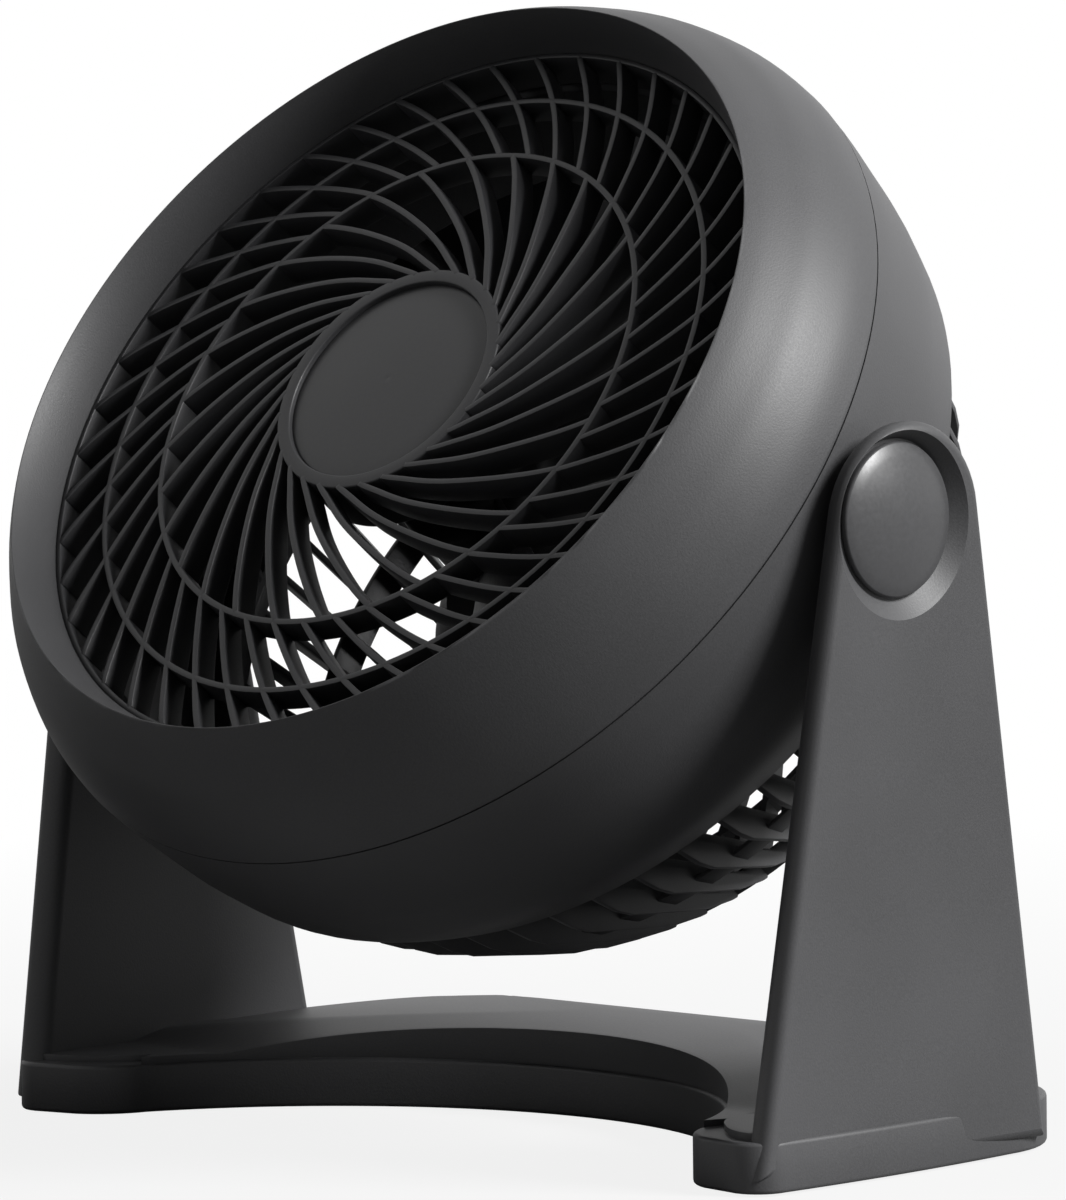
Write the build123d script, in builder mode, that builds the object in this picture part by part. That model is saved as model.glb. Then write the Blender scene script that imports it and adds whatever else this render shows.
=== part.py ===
from math import cos, pi, radians, sin

from build123d import *
import os

os.makedirs("parts", exist_ok=True)

# ---------------------------------------------------------------------------
# Driving dimensions, in millimetres and degrees.
# The stand rests on z = 0, +Z is up and the fan blows towards -Y.
# The head is a body of revolution. Its axis runs through the tilt pivot, and
# "depth" below means the distance along that axis, positive to the front.
# ---------------------------------------------------------------------------

# head position
PIVOT_Z = 164.65          # height of the tilt axis
HEAD_TILT = 38.33         # how far the head looks up at rest

# head shell, as (radius, depth)
FRONT_OUTER = [(128.1, 23.3), (127.4, 30), (125.9, 36), (122.7, 44), (119.0, 50), (115.6, 55),
               (113.2, 58)]
LIP_CREST = (111.4, 60.0)
LIP_INNER = (110.0, 55.6)
WALL_FRONT = (107.2, 47.0)
REAR_OUTER = [(128.0, 23.0), (127.6, 16), (126.7, 8), (125.8, 0), (124.6, -8), (122.8, -16), (120.5, -24),
              (116.6, -30.5), (112.0, -36.5)]
SKIN = 2.2                # moulded wall of both shells
LEDGE_DEPTH = 35.0        # the front grille stands on a ledge here
DUCT_R = 104.6            # bore of the duct around the impeller
DUCT_WALL = 2.0
DUCT_END = 2.0            # rear end of the duct
TONGUE_END = 18.5         # tongue of the front shell inside the rear shell

# front grille
HUB_R = 33.85             # outside of the hub ring
BADGE_R = 30.0            # bare round disc in the hub
RING_A_R = 72.35          # middle of the inner ring
RING_B_R = 91.40          # middle of the outer ring
RING_WALL = 1.7
GRILLE_R = 107.15         # outside of the grille's rim
GRILLE_BACK = LEDGE_DEPTH
VANE = 1.7                # vane thickness
VANE_DEPTH = 8.0          # how far the vanes reach behind the domed face
INNER_VANES = 30
OUTER_VANES = 45
VANE_PHASE = 6.0          # angle of a vane where it meets the inner ring
# inner vane centre line: radius, and angle behind the inner ring
INNER_PATH = [(33.0, -45.0), (37.5, -34.5), (44.0, -24.6), (52.0, -15.2), (61.0, -7.4), (73.0, 0.8)]
# outer vane centre line: radius, and angle past the inner ring
OUTER_PATH = [(71.0, -0.9), (80.0, 5.0), (91.4, 11.5), (106.5, 19.4)]
# front surface of the grille: radius and depth
GRILLE_FACE = [(34.2, 52.7), (52.0, 51.6), (72.3, 49.4), (91.4, 47.0), (104.0, 46.6), (110.0, 45.6)]

# rear grille
FINS = 54
FIN = 1.7
FIN_PHASE = 1.6           # angle of a fin at the head's rear edge
FIN_ROOT = 112.0          # the fins slant about a line at this radius
FIN_SLANT = 20.0          # slant of a fin off the radius
# side view of a fin, as reach along its slant and depth
FIN_SIDE = [(105.0, -34.0), (108.0, -34.0), (108.0, -36.7), (111.6, -36.7), (109.1, -46.0), (106.1, -52.5),
            (100.0, -61.0), (93.6, -70.0), (86.9, -79.0), (79.2, -86.6), (77.5, -88.0), (75.0, -88.0),
            (75.0, -82.6), (82.0, -78.0), (86.4, -71.6), (88.2, -66.0), (91.4, -60.0), (95.8, -52.5),
            (99.4, -46.0), (103.0, -38.5)]
REAR_PHASE = 9.7          # angle of the same fin where it reaches the rear face
# ring that ties the fins together, as (radius, depth)
BAND = [(97.5, -59.3), (99.0, -59.3), (95.5, -66.5), (94.0, -66.5)]
REAR_FACE = -88.0
REAR_PLATE = -90.0        # back of the centre plate
PLATE_T = 2.4
COLLAR_R = 46.0
GUARD_R = 80.0            # edge of the rear face inside the ring of fins
REAR_RING_R = 62.0

# impeller
BLADES = 3
BLADE_R = 100.0
BLADE = 2.2
BLADE_PHASE = 300.0       # centre line of one blade
BLADE_MID = 5.0           # depth of the blades' middle
SPIN_HUB_R = 22.7
SPIN_FRONT = 22.0
SPIN_BACK = -16.0

# motor
SHAFT_R = 4.0
RUNNING = 0.05            # radial clearance of every turning fit
STATOR_R = 36.0
BORE_R = 16.15
ROTOR_R = 15.65
CORE_FRONT = -38.0
CORE_BACK = -54.0
BOLT_RING = 31.0

# stand
ARM_OUT = 133.03          # outer face of an arm at the floor
ARM_FLARE = 0.03          # outward lean of the arms
ARM_T = 8.35
ARM_TOP_R = 26.0
ARM_TOP = (3.4, 163.0)
FOOT_H = 13.5             # height of the lower tier
PIVOT_PAD = 129.2         # inner pad that faces the head
PIVOT_FLOOR = 134.2       # floor of the dish under the cap
CAP_R = 19.47
DISH_R = 24.2             # the dish is a shallow cone, wider and lower at its mouth
CAP_EDGE = 136.0
CAP_CREST = 139.6

# ---------------------------------------------------------------------------
# Planes of the head
# ---------------------------------------------------------------------------
tilt_c = cos(radians(HEAD_TILT))
tilt_s = sin(radians(HEAD_TILT))
PIVOT = (0, 0, PIVOT_Z)
HEAD = Plane(origin=PIVOT, x_dir=(1, 0, 0), z_dir=(0, -tilt_c, tilt_s))
SIDE = Plane(origin=PIVOT, x_dir=(1, 0, 0), z_dir=(0, -tilt_s, -tilt_c))
HEAD_AXIS = Axis(PIVOT, (0, -tilt_c, tilt_s))


def polar(radius, angle):
    return (radius * cos(radians(angle)), radius * sin(radians(angle)))


# ---------------------------------------------------------------------------
# Stand: one U-shaped moulding with two tapered arms
# ---------------------------------------------------------------------------
with BuildSketch() as lower_plan:
    with BuildLine():
        ThreePointArc((-99, -33.2), (0, 29.8), (99, -33.2))
        ThreePointArc((99, -33.2), (103.4, -42.4), (111.5, -48.0))
        Line((111.5, -48.0), (124.5, -50.6))
        ThreePointArc((124.5, -50.6), (131.2, -48.0), (133.7, -41))
        ThreePointArc((133.7, -41), (134.4, 2), (131.6, 46))
        ThreePointArc((131.6, 46), (122.6, 70), (100, 83.5))
        ThreePointArc((100, 83.5), (0, 90), (-100, 83.5))
        ThreePointArc((-100, 83.5), (-122.6, 70), (-131.6, 46))
        ThreePointArc((-131.6, 46), (-134.4, 2), (-133.7, -41))
        ThreePointArc((-133.7, -41), (-131.2, -48.0), (-124.5, -50.6))
        Line((-124.5, -50.6), (-111.5, -48.0))
        ThreePointArc((-111.5, -48.0), (-103.4, -42.4), (-99, -33.2))
    make_face()

with BuildSketch() as upper_plan:
    with BuildLine():
        ThreePointArc((-105, -31), (0, 31.0), (105, -31))
        ThreePointArc((105, -31), (113.6, -40.6), (125, -45.2))
        Line((125, -45.2), (131.6, -44))
        Line((131.6, -44), (131.6, 20))
        ThreePointArc((131.6, 20), (130.9, 33.5), (129.0, 46))
        ThreePointArc((129.0, 46), (119.6, 68.4), (98, 80.4))
        ThreePointArc((98, 80.4), (0, 87.2), (-98, 80.4))
        ThreePointArc((-98, 80.4), (-119.6, 68.4), (-129.0, 46))
        ThreePointArc((-129.0, 46), (-130.9, 33.5), (-131.6, 20))
        Line((-131.6, 20), (-131.6, -44))
        Line((-131.6, -44), (-125, -45.2))
        ThreePointArc((-125, -45.2), (-113.6, -40.6), (-105, -31))
    make_face()

with BuildPart() as dome:
    with BuildSketch(Plane.YZ):
        with BuildLine():
            Polyline((88.6, FOOT_H - 1), (-60, FOOT_H - 1), (-60, 19.3), (0, 19.3))
            Spline((0, 19.3), (30, 18.9), (46, 22.2), (60, 24.2), (72, 22.8), (82, 18.6), (88.6, FOOT_H - 1))
        make_face()
    extrude(amount=140, both=True)

with BuildPart() as crown:
    with BuildSketch(Plane.XZ):
        with BuildLine():
            Spline((-136, 16.6), (-90, 21.6), (-45, 23.9), (0, 24.6), (45, 23.9), (90, 21.6), (136, 16.6))
            Polyline((136, 16.6), (136, FOOT_H - 1), (-136, FOOT_H - 1), (-136, 16.6))
        make_face()
    extrude(amount=140, both=True)

with BuildPart() as upper_tier:
    with BuildSketch(Plane.XY.offset(FOOT_H - 1)):
        add(upper_plan.sketch)
    extrude(amount=20)
    add(dome.part, mode=Mode.INTERSECT)
    add(crown.part, mode=Mode.INTERSECT)

with BuildPart() as lower_tier:
    with BuildSketch(Plane.XY.offset(0.6)):
        add(lower_plan.sketch)
    extrude(amount=FOOT_H - 0.6)

RIGHT_FACE = Plane(origin=(ARM_OUT, 0, 0), x_dir=(0, 1, 0), z_dir=(1, 0, -ARM_FLARE))
RIGHT_INNER = RIGHT_FACE.offset(-ARM_T)


def arm_front(z):
    return -49.87 + 0.165 * z


def arm_rear(z):
    return 59.1 - 0.18 * z


with BuildSketch() as arm_outline:
    with BuildLine():
        Polyline((arm_front(166.5), 166.5), (arm_front(4), 4), (arm_rear(4), 4), (arm_rear(167.0), 167.0))
        ThreePointArc((arm_rear(167.0), 167.0), (ARM_TOP[0], ARM_TOP[1] + ARM_TOP_R),
                      (arm_front(166.5), 166.5))
    make_face()

with BuildPart() as right_arm:
    with BuildSketch(RIGHT_FACE):
        add(arm_outline.sketch)
    extrude(amount=-ARM_T)
    outer_edges = right_arm.faces().sort_by(Axis.X)[-1].edges().filter_by(lambda e: e.center().Z > 20)
    fillet(outer_edges, 3.0)
    inner_edges = right_arm.faces().filter_by(RIGHT_FACE).sort_by(Axis.X)[0].edges()
    fillet(inner_edges.filter_by(lambda e: e.center().Z > 20), 5.0)
    # pocket behind the inner cover, with the cover's seat
    with BuildSketch(RIGHT_INNER):
        with BuildLine():
            Polyline((arm_front(30) + 6.2, 30), (arm_front(134) + 6.2, 134), (arm_rear(134) - 6.2, 134),
                     (arm_rear(30) - 6.2, 30), close=True)
        make_face()
    extrude(amount=2.0, mode=Mode.SUBTRACT)
    with BuildSketch(RIGHT_INNER):
        with BuildLine():
            Polyline((arm_front(30) + 9, 40), (arm_front(134) + 7.7, 124), (arm_rear(134) - 7.7, 124),
                     (arm_rear(30) - 9, 40), close=True)
        make_face()
    extrude(amount=5.8, mode=Mode.SUBTRACT)
    # pivot pad, dish and bores
    with BuildSketch(Plane.YZ.offset(PIVOT_PAD)):
        with Locations((0, PIVOT_Z)):
            Circle(10)
    extrude(amount=2.5)
    with BuildSketch(Plane.YZ.offset(PIVOT_FLOOR)):
        with Locations((0, PIVOT_Z)):
            Circle(CAP_R + 0.7)
    with BuildSketch(Plane.YZ.offset(PIVOT_FLOOR + 3.8)):
        with Locations((0, PIVOT_Z - 2.0)):
            Circle(DISH_R)
    with BuildSketch(Plane.YZ.offset(PIVOT_FLOOR + 7.6)):
        with Locations((0, PIVOT_Z - 4.0)):
            Circle(2 * DISH_R - CAP_R - 0.7)
    loft(ruled=True, mode=Mode.SUBTRACT)
    with BuildSketch(Plane.YZ.offset(132.0)):
        with Locations((0, PIVOT_Z)):
            Circle(8.0)
    extrude(amount=10, mode=Mode.SUBTRACT)
    with BuildSketch(Plane.YZ.offset(120)):
        with Locations((0, PIVOT_Z)):
            Circle(6.0)
    extrude(amount=20, mode=Mode.SUBTRACT)

with BuildPart() as stand_shell:
    add(lower_tier.part)
    add(upper_tier.part)
    # hollow underside
    with BuildSketch(Plane.XY):
        add(lower_plan.sketch)
        offset(amount=-3.2)
    extrude(amount=10.5, mode=Mode.SUBTRACT)
    with BuildSketch(Plane.XY):
        add(upper_plan.sketch)
        offset(amount=-4.0)
        with Locations((0, -34)):
            Rectangle(300, 52, mode=Mode.SUBTRACT)
    extrude(amount=15.8, mode=Mode.SUBTRACT)
    add(right_arm.part)
    add(right_arm.part.mirror(Plane.YZ))
    # bosses for the bottom cover's screws
    with BuildSketch(Plane.XY.offset(3.6)):
        with Locations((108, -14), (-108, -14), (84, 60), (-84, 60)):
            Circle(4.2)
            Circle(1.4, mode=Mode.SUBTRACT)
    extrude(amount=12.3)
    with BuildSketch(Plane.XY.offset(3.6)):
        with Locations((108, -14), (-108, -14), (84, 60), (-84, 60)):
            Circle(1.4)
    extrude(amount=9.0, mode=Mode.SUBTRACT)
stand_shell.part.label = "stand_shell"
export_step(stand_shell.part, "parts/stand_shell.step")

# cover plates on the inner side of the arms
with BuildPart() as arm_cover_right:
    with BuildSketch(RIGHT_INNER):
        with BuildLine():
            Polyline((arm_front(30) + 6.2, 30), (arm_front(134) + 6.2, 134), (arm_rear(134) - 6.2, 134),
                     (arm_rear(30) - 6.2, 30), close=True)
        make_face()
        offset(amount=-0.15)
    extrude(amount=2.0)
arm_cover_right.part.label = "arm_cover_right"
export_step(arm_cover_right.part, "parts/arm_cover_right.step")

with BuildPart() as arm_cover_left:
    add(arm_cover_right.part.mirror(Plane.YZ))
arm_cover_left.part.label = "arm_cover_left"
export_step(arm_cover_left.part, "parts/arm_cover_left.step")

# closing plate under the base
COVER_SCREWS = [(108, -14), (-108, -14), (84, 60), (-84, 60)]
FOOT_PADS = [(117, -34), (-117, -34), (112, 60), (-112, 60)]
with BuildPart() as bottom_cover:
    with BuildSketch(Plane.XY.offset(1.2)):
        add(lower_plan.sketch)
        offset(amount=-3.3)
    extrude(amount=2.4)
    with BuildSketch(Plane.XY.offset(1.2)):
        with Locations(*FOOT_PADS):
            Circle(7.05)
    extrude(amount=1.2, mode=Mode.SUBTRACT)
    with BuildSketch(Plane.XY.offset(1.2)):
        with Locations(*COVER_SCREWS):
            Circle(3.1)
    extrude(amount=1.2, mode=Mode.SUBTRACT)
    with BuildSketch(Plane.XY.offset(1.2)):
        with Locations(*COVER_SCREWS):
            Circle(1.6)
    extrude(amount=2.4, mode=Mode.SUBTRACT)
bottom_cover.part.label = "bottom_cover"
export_step(bottom_cover.part, "parts/bottom_cover.step")

with BuildPart() as rubber_feet:
    with BuildSketch(Plane.XY):
        with Locations(*FOOT_PADS):
            Circle(7.0)
    extrude(amount=2.4)
    chamfer(rubber_feet.faces().sort_by(Axis.Z)[:4].edges(), 0.5)
rubber_feet.part.label = "rubber_feet"
export_step(rubber_feet.part, "parts/rubber_feet.step")

with BuildPart() as bottom_screws:
    with BuildSketch(Plane.XY.offset(1.3)):
        with Locations(*COVER_SCREWS):
            Circle(3.0)
    extrude(amount=1.1)
    with BuildSketch(Plane.XY.offset(2.4)):
        with Locations(*COVER_SCREWS):
            Circle(1.4)
    extrude(amount=9.6)
    with BuildSketch(Plane.XY.offset(1.3)):
        with Locations(*COVER_SCREWS):
            Rectangle(3.4, 0.8)
            Rectangle(0.8, 3.4)
    extrude(amount=0.7, mode=Mode.SUBTRACT)
bottom_screws.part.label = "bottom_screws"
export_step(bottom_screws.part, "parts/bottom_screws.step")

# plain bearing sleeves for the tilt bolts
with BuildPart() as pivot_sleeves:
    with BuildSketch(Plane.YZ.offset(PIVOT_PAD)):
        with Locations((0, PIVOT_Z)):
            Circle(6.0)
            Circle(SHAFT_R + RUNNING, mode=Mode.SUBTRACT)
    extrude(amount=132.0 - PIVOT_PAD)
    mirror(about=Plane.YZ)
pivot_sleeves.part.label = "pivot_sleeves"
export_step(pivot_sleeves.part, "parts/pivot_sleeves.step")

# round caps over the tilt bolts: the crown is part of a ball
cap_rise = CAP_CREST - CAP_EDGE
cap_ball = ((CAP_R - 0.5) ** 2 + cap_rise ** 2) / (2 * cap_rise)
with BuildPart() as pivot_cap_right:
    with BuildSketch(Plane(origin=PIVOT, x_dir=(0, 1, 0), z_dir=(0, 0, 1))):
        # drawn as (distance from the tilt axis, -x)
        with BuildLine():
            Polyline((0, -CAP_CREST), (0, -PIVOT_FLOOR), (CAP_R, -PIVOT_FLOOR), (CAP_R, 0.4 - CAP_EDGE),
                     (CAP_R - 0.5, -CAP_EDGE))
            ThreePointArc((CAP_R - 0.5, -CAP_EDGE), (10.0, cap_ball - CAP_CREST - (cap_ball ** 2 - 100) ** 0.5),
                          (0, -CAP_CREST))
        make_face()
    revolve(axis=Axis(PIVOT, (1, 0, 0)))
pivot_cap_right.part.label = "pivot_cap_right"
export_step(pivot_cap_right.part, "parts/pivot_cap_right.step")

with BuildPart() as pivot_cap_left:
    add(pivot_cap_right.part.mirror(Plane.YZ))
pivot_cap_left.part.label = "pivot_cap_left"
export_step(pivot_cap_left.part, "parts/pivot_cap_left.step")

# ---------------------------------------------------------------------------
# Tilting head: hardware of the pivot
# ---------------------------------------------------------------------------
BOSS_R = 9.0
BOSS_IN = 107.6
BOSS_OUT = 128.45
NUT_DEPTH = 4.4

with BuildPart() as pivot_bolts:
    with BuildSketch(Plane.YZ.offset(132.05)):
        with Locations((0, PIVOT_Z)):
            Circle(7.0)
    extrude(amount=2.1)
    with BuildSketch(Plane.YZ.offset(BOSS_IN)):
        with Locations((0, PIVOT_Z)):
            Circle(SHAFT_R)
    extrude(amount=132.05 - BOSS_IN)
    with BuildSketch(Plane.YZ.offset(132.9)):
        with Locations((0, PIVOT_Z)):
            RegularPolygon(radius=3.0, side_count=6)
    extrude(amount=3, mode=Mode.SUBTRACT)
    mirror(about=Plane.YZ)
pivot_bolts.part.label = "pivot_bolts"
export_step(pivot_bolts.part, "parts/pivot_bolts.step")

with BuildPart() as pivot_nuts:
    with BuildSketch(Plane.YZ.offset(BOSS_IN - 0.4)):
        with Locations((0, PIVOT_Z)):
            RegularPolygon(radius=6.2, side_count=6)
            Circle(SHAFT_R, mode=Mode.SUBTRACT)
    extrude(amount=NUT_DEPTH)
    mirror(about=Plane.YZ)
pivot_nuts.part.label = "pivot_nuts"
export_step(pivot_nuts.part, "parts/pivot_nuts.step")

with BuildPart() as friction_washers:
    with BuildSketch(Plane.YZ.offset(BOSS_OUT)):
        with Locations((0, PIVOT_Z)):
            Circle(9.0)
            Circle(SHAFT_R + 0.2, mode=Mode.SUBTRACT)
    extrude(amount=0.7)
    mirror(about=Plane.YZ)
friction_washers.part.label = "friction_washers"
export_step(friction_washers.part, "parts/friction_washers.step")

# ---------------------------------------------------------------------------
# Head shells
# ---------------------------------------------------------------------------
SHELL_SCREWS = [45, 135, 225, 315]
SHELL_SCREW_R = 108.0
RIM_SCREWS = 6
RIM_START = FIN_PHASE + 1.1 + 180 / FINS

with BuildPart() as front_shell:
    with BuildSketch(SIDE):
        with BuildLine():
            Spline(*FRONT_OUTER, LIP_CREST)
            Polyline(LIP_CREST, LIP_INNER, WALL_FRONT, (WALL_FRONT[0], LEDGE_DEPTH),
                     (DUCT_R, LEDGE_DEPTH - 2.0), (DUCT_R, DUCT_END), (DUCT_R + DUCT_WALL, DUCT_END),
                     (DUCT_R + DUCT_WALL, LEDGE_DEPTH - 3.2), (WALL_FRONT[0] + 2.0, LEDGE_DEPTH - 1.0),
                     (WALL_FRONT[0] + 2.0, WALL_FRONT[1]), (111.4, 54.6))
            Spline((111.4, 54.6), (113.6, 53.6), (117.1, 49.0), (120.7, 43.0), (123.8, 35.4), (125.2, 29.6),
                   (125.9, 23.3))
            Line((125.9, 23.3), FRONT_OUTER[0])
        make_face()
        with BuildLine():
            Polyline((125.45, TONGUE_END), (123.8, TONGUE_END), (123.8, 27.0), (126.4, 27.0), (126.4, 23.3),
                     (125.45, 23.3), close=True)
        make_face()
    revolve(axis=HEAD_AXIS)
    # screw bosses on the outside of the duct
    with BuildSketch(HEAD.offset(DUCT_END)):
        with Locations(*[polar(SHELL_SCREW_R, a) for a in SHELL_SCREWS]):
            Circle(3.4)
    extrude(amount=28)
    with BuildSketch(HEAD.offset(DUCT_END)):
        with Locations(*[polar(SHELL_SCREW_R, a) for a in SHELL_SCREWS]):
            Circle(1.5)
    extrude(amount=20, mode=Mode.SUBTRACT)
    # windows for the grille's snap tabs
    with BuildSketch(HEAD.offset(37.9)):
        with PolarLocations(108.2, 6, start_angle=14):
            Rectangle(3.2, 8.3)
    extrude(amount=3.2, mode=Mode.SUBTRACT)
front_shell.part.label = "front_shell"
export_step(front_shell.part, "parts/front_shell.step")

with BuildPart() as rear_shell:
    with BuildSketch(SIDE):
        with BuildLine():
            Spline(*REAR_OUTER)
            Polyline(REAR_OUTER[-1], (108.7, -36.5), (108.7, -32.0), (104.5, -32.0), (104.5, -29.6),
                     (112.2, -29.6), (114.2, -29.3))
            Spline((114.2, -29.3), (118.5, -22.6), (120.7, -15.2), (122.4, -8), (123.6, 0), (124.5, 8),
                   (125.4, 16), (125.8, 23.0))
            Line((125.8, 23.0), REAR_OUTER[0])
        make_face()
    revolve(axis=HEAD_AXIS)
    # bosses on the tilt axis
    with BuildSketch(Plane.YZ.offset(BOSS_IN)):
        with Locations((0, PIVOT_Z)):
            Circle(BOSS_R)
    right_boss = extrude(amount=BOSS_OUT - BOSS_IN)
    mirror(right_boss, about=Plane.YZ)
    with BuildSketch(Plane.YZ.offset(-150)):
        with Locations((0, PIVOT_Z)):
            Circle(SHAFT_R)
    extrude(amount=300, mode=Mode.SUBTRACT)
    with BuildSketch(Plane.YZ.offset(BOSS_IN - 1)):
        with Locations((0, PIVOT_Z)):
            RegularPolygon(radius=6.2, side_count=6)
    nut_seat = extrude(amount=NUT_DEPTH + 0.6, mode=Mode.SUBTRACT)
    add(nut_seat.mirror(Plane.YZ), mode=Mode.SUBTRACT)
    # posts that meet the front shell's bosses
    with BuildSketch(HEAD.offset(-32.0)):
        with Locations(*[polar(SHELL_SCREW_R, a) for a in SHELL_SCREWS]):
            Circle(3.4)
    extrude(amount=32.0 + DUCT_END)
    with BuildSketch(HEAD.offset(-32.0)):
        with Locations(*[polar(SHELL_SCREW_R, a) for a in SHELL_SCREWS]):
            Circle(2.5)
    extrude(amount=28.0, mode=Mode.SUBTRACT)
    with BuildSketch(HEAD.offset(-32.0)):
        with Locations(*[polar(SHELL_SCREW_R, a) for a in SHELL_SCREWS]):
            Circle(1.6)
    extrude(amount=32.0 + DUCT_END, mode=Mode.SUBTRACT)
    # blind bosses for the rear grille's screws
    with BuildSketch(HEAD.offset(-30.0)):
        with PolarLocations(106.6, RIM_SCREWS, start_angle=RIM_START):
            Circle(2.6)
    extrude(amount=9.0)
    with BuildSketch(HEAD.offset(-32.0)):
        with PolarLocations(106.6, RIM_SCREWS, start_angle=RIM_START):
            Circle(1.3)
    extrude(amount=9.0, mode=Mode.SUBTRACT)
rear_shell.part.label = "rear_shell"
export_step(rear_shell.part, "parts/rear_shell.step")

with BuildPart() as shell_screws:
    with BuildSketch(HEAD.offset(-6.4)):
        with Locations(*[polar(SHELL_SCREW_R, a) for a in SHELL_SCREWS]):
            Circle(2.4)
    extrude(amount=2.4)
    with BuildSketch(HEAD.offset(-4.0)):
        with Locations(*[polar(SHELL_SCREW_R, a) for a in SHELL_SCREWS]):
            Circle(1.5)
    extrude(amount=26.0)
shell_screws.part.label = "shell_screws"
export_step(shell_screws.part, "parts/shell_screws.step")

# ---------------------------------------------------------------------------
# Front grille: hub, two rings and swept vanes
# ---------------------------------------------------------------------------


def vane_side(path, base, side):
    """Points of one side of a vane, half a thickness off its centre line."""
    points = []
    for n, (r, a) in enumerate(path):
        low = path[max(n - 1, 0)]
        high = path[min(n + 1, len(path) - 1)]
        sweep = r * radians(high[1] - low[1]) / (high[0] - low[0])
        shift = side * VANE / 2 * (1 + sweep ** 2) ** 0.5 / r
        points.append(polar(r, base + a + shift * 180 / pi))
    return points


def window(path, base, pitch):
    """Closed outline of the gap between two neighbouring vanes."""
    first = vane_side(path, base, 1)
    second = vane_side(path, base + pitch, -1)
    Spline(*first)
    Line(first[-1], second[-1])
    Spline(*second)
    Line(second[0], first[0])


inner_pitch = 360 / INNER_VANES
outer_pitch = 360 / OUTER_VANES

with BuildSketch() as inner_windows:
    with BuildLine():
        window(INNER_PATH, VANE_PHASE, inner_pitch)
    make_face()
    with BuildSketch(mode=Mode.PRIVATE) as inner_zone:
        Circle(RING_A_R - RING_WALL / 2)
        Circle(HUB_R, mode=Mode.SUBTRACT)
    add(inner_zone.sketch, mode=Mode.INTERSECT)

with BuildSketch() as outer_windows:
    with BuildLine():
        window(OUTER_PATH, VANE_PHASE, outer_pitch)
    make_face()
    with BuildSketch(mode=Mode.PRIVATE) as outer_zone:
        Circle(GRILLE_R - 1.6)
        Circle(RING_B_R + RING_WALL / 2, mode=Mode.SUBTRACT)
        with BuildSketch(mode=Mode.PRIVATE) as middle_zone:
            Circle(RING_B_R - RING_WALL / 2)
            Circle(RING_A_R + RING_WALL / 2, mode=Mode.SUBTRACT)
        add(middle_zone.sketch)
    add(outer_zone.sketch, mode=Mode.INTERSECT)

with BuildPart() as front_grille:
    with BuildSketch(HEAD.offset(GRILLE_BACK)):
        Circle(GRILLE_R)
        with PolarLocations(0, INNER_VANES):
            add(inner_windows.sketch, mode=Mode.SUBTRACT)
        with PolarLocations(0, OUTER_VANES):
            add(outer_windows.sketch, mode=Mode.SUBTRACT)
    extrude(amount=20)
    # domed front surface
    with BuildSketch(SIDE):
        with BuildLine():
            Line((0, GRILLE_FACE[0][1]), GRILLE_FACE[0])
            Spline(*GRILLE_FACE)
            Polyline(GRILLE_FACE[-1], (110.0, GRILLE_BACK - 1), (0, GRILLE_BACK - 1), (0, GRILLE_FACE[0][1]))
        make_face()
    revolve(axis=HEAD_AXIS, mode=Mode.INTERSECT)
    # the vanes are shallow, and their backs follow the dome
    with BuildSketch(SIDE):
        with BuildLine():
            Spline((HUB_R, 52.7 - VANE_DEPTH), (52.0, 51.6 - VANE_DEPTH), (72.3, 49.4 - VANE_DEPTH),
                   (91.4, 47.0 - VANE_DEPTH), (GRILLE_R - 1.6, 46.5 - VANE_DEPTH))
            Polyline((GRILLE_R - 1.6, 46.5 - VANE_DEPTH), (GRILLE_R - 1.6, GRILLE_BACK - 1),
                     (HUB_R, GRILLE_BACK - 1), (HUB_R, 52.7 - VANE_DEPTH))
        make_face()
    revolve(axis=HEAD_AXIS, mode=Mode.SUBTRACT)
    # seat of the badge, and a hollow behind it
    with BuildSketch(HEAD.offset(48.5)):
        Circle(BADGE_R + 0.06)
    extrude(amount=10, mode=Mode.SUBTRACT)
    with BuildSketch(HEAD.offset(GRILLE_BACK - 1)):
        Circle(HUB_R - 2.4)
    extrude(amount=11.5, mode=Mode.SUBTRACT)
    # snap tabs
    with BuildSketch(HEAD.offset(38.0)):
        with PolarLocations(107.6, 6, start_angle=14):
            Rectangle(1.6, 8.0)
    extrude(amount=3.0)
front_grille.part.label = "front_grille"
export_step(front_grille.part, "parts/front_grille.step")

# bare round disc in the grille's hub
with BuildPart() as hub_badge:
    with BuildSketch(SIDE):
        with BuildLine():
            Polyline((BADGE_R, 51.2), (BADGE_R, 48.5), (0, 48.5), (0, 52.6))
            ThreePointArc((0, 52.6), (BADGE_R / 2, 52.25), (BADGE_R, 51.2))
        make_face()
    revolve(axis=HEAD_AXIS)
hub_badge.part.label = "hub_badge"
export_step(hub_badge.part, "parts/hub_badge.step")

# ---------------------------------------------------------------------------
# Rear of the head: a ring of side fins, and a rear guard that carries the motor
# ---------------------------------------------------------------------------
MOTOR_SCREWS = [45, 135, 225, 315]
COVER_BOSSES = [90, 210, 330]
COVER_BOSS_R = 38.6
CORD_R = 3.2
CORD_PLACE = (0, -33.0)
REAR_PATH = [(45.0, 24.0), (52.0, 16.5), (60.0, 10.5), (70.0, 4.6), (81.0, 0.0)]
fin_pitch = 360 / FINS

with BuildSketch() as rear_windows:
    with BuildLine():
        window(REAR_PATH, REAR_PHASE, fin_pitch)
    make_face()
    with BuildSketch(mode=Mode.PRIVATE) as rear_outer:
        Circle(GUARD_R - 1.8)
        Circle(REAR_RING_R + 0.9, mode=Mode.SUBTRACT)
    add(rear_outer.sketch, mode=Mode.INTERSECT)

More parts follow.
